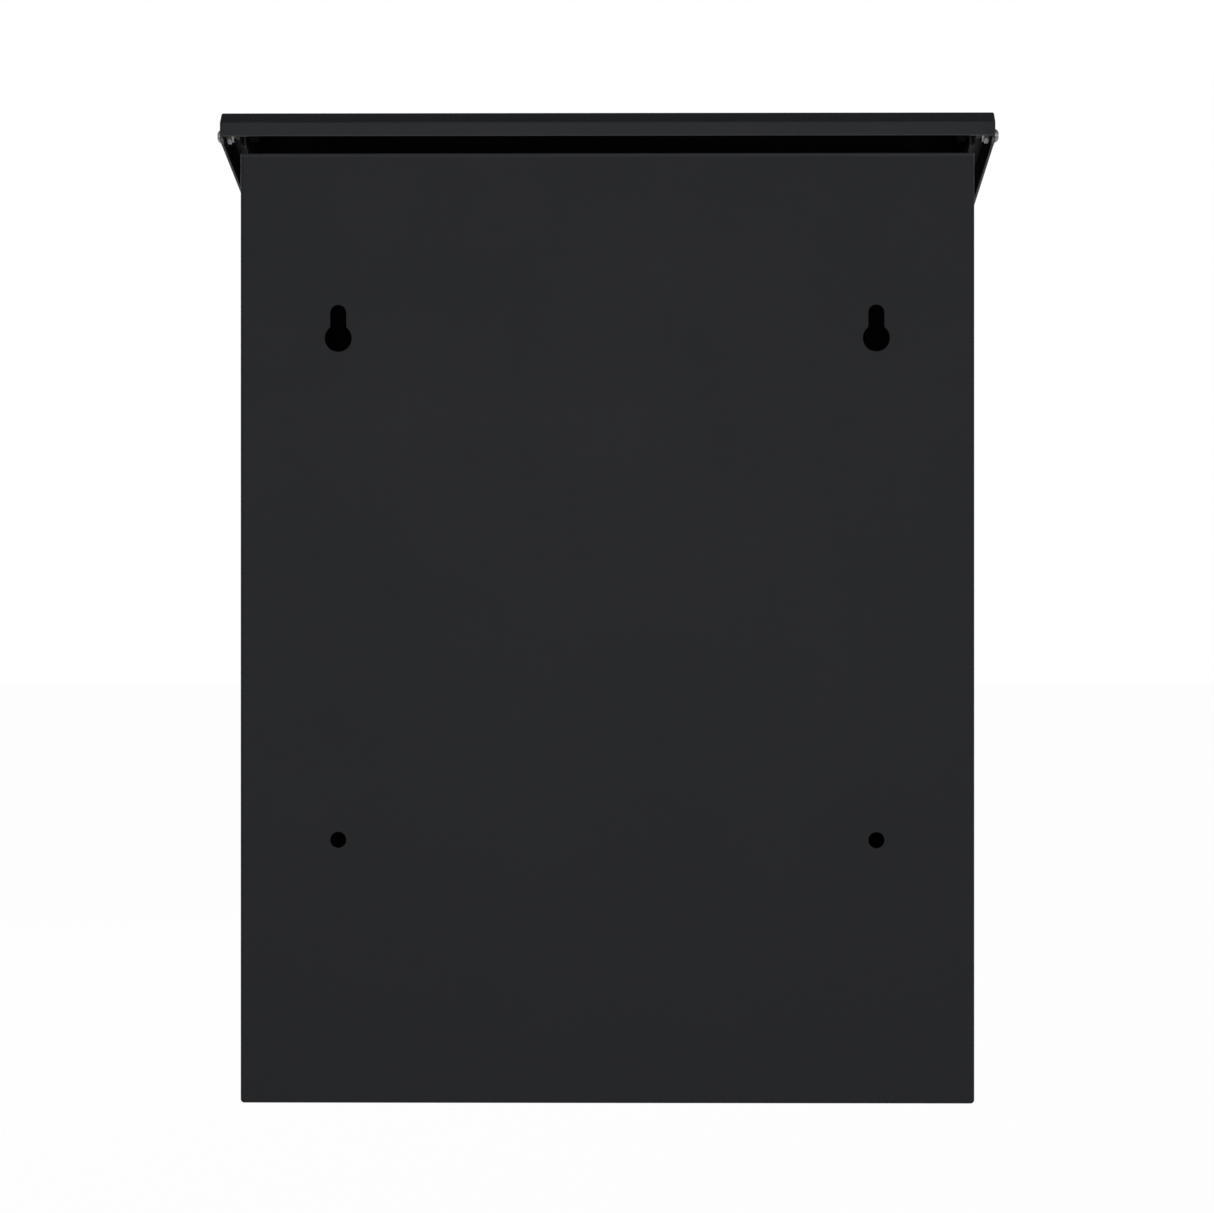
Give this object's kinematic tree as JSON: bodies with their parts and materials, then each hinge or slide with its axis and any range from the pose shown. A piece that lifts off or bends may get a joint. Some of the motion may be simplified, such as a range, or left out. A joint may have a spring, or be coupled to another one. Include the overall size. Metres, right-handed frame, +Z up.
{
  "type": "wall mounted mailbox",
  "caption": "Black powder coated sheet steel wall mailbox with a sloping lift-up lid, a key-locked front door and keyholes in its back panel.",
  "frame": {"origin": "centre of the back panel's rear face, which rests on the wall", "axes": "+Y into the wall, +Z up, the front of the mailbox faces -Y"},
  "size_m": [0.3254, 0.109, 0.4088],
  "materials": {
    "black_coat": "matte black powder coat",
    "zinc": "bright zinc plate",
    "chrome": "polished plate",
    "black_nylon": "moulded nylon",
    "white_nylon": "moulded nylon",
    "rubber": "matte black rubber"
  },
  "bodies": {
    "box": {"body_shell": "black_coat", "front_frame": "black_coat", "pivot_bushing_left": "black_nylon", "pivot_bushing_right": "black_nylon", "lid_bumper_left": "rubber", "lid_bumper_right": "rubber", "door_pin_upper": "zinc", "door_pin_lower": "zinc", "door_washer_upper": "white_nylon", "door_washer_lower": "white_nylon"},
    "lid": {"lid_shell": "black_coat", "hinge_screw_left": "zinc", "hinge_screw_right": "zinc", "hinge_lock_nut_left": "zinc", "hinge_lock_nut_right": "zinc", "pivot_cap_left": "black_nylon", "pivot_cap_right": "black_nylon"},
    "door": {"door_panel": "black_coat", "lock_housing": "chrome", "lock_washer": "zinc", "lock_mounting_nut": "zinc"},
    "lock": {"lock_plug": "chrome", "lock_cam": "zinc", "cam_washer": "zinc", "cam_bolt": "zinc"}
  },
  "joints": [
    {"name": "lid_hinge", "type": "hinge", "parent": "box", "child": "lid", "pos_m": [0, -0.014, 0.2048], "axis": [-1, 0, 0], "range_deg": [0, 80]},
    {"name": "door_hinge", "type": "hinge", "parent": "box", "child": "door", "pos_m": [-0.1278, -0.096, 0], "axis": [0, 0, -1], "range_deg": [0, 100]},
    {"name": "lock_turn", "type": "hinge", "parent": "door", "child": "lock", "pos_m": [0.1168, -0.1, -0.00525], "axis": [0, -1, 0], "range_deg": [0, 90]}
  ]
}
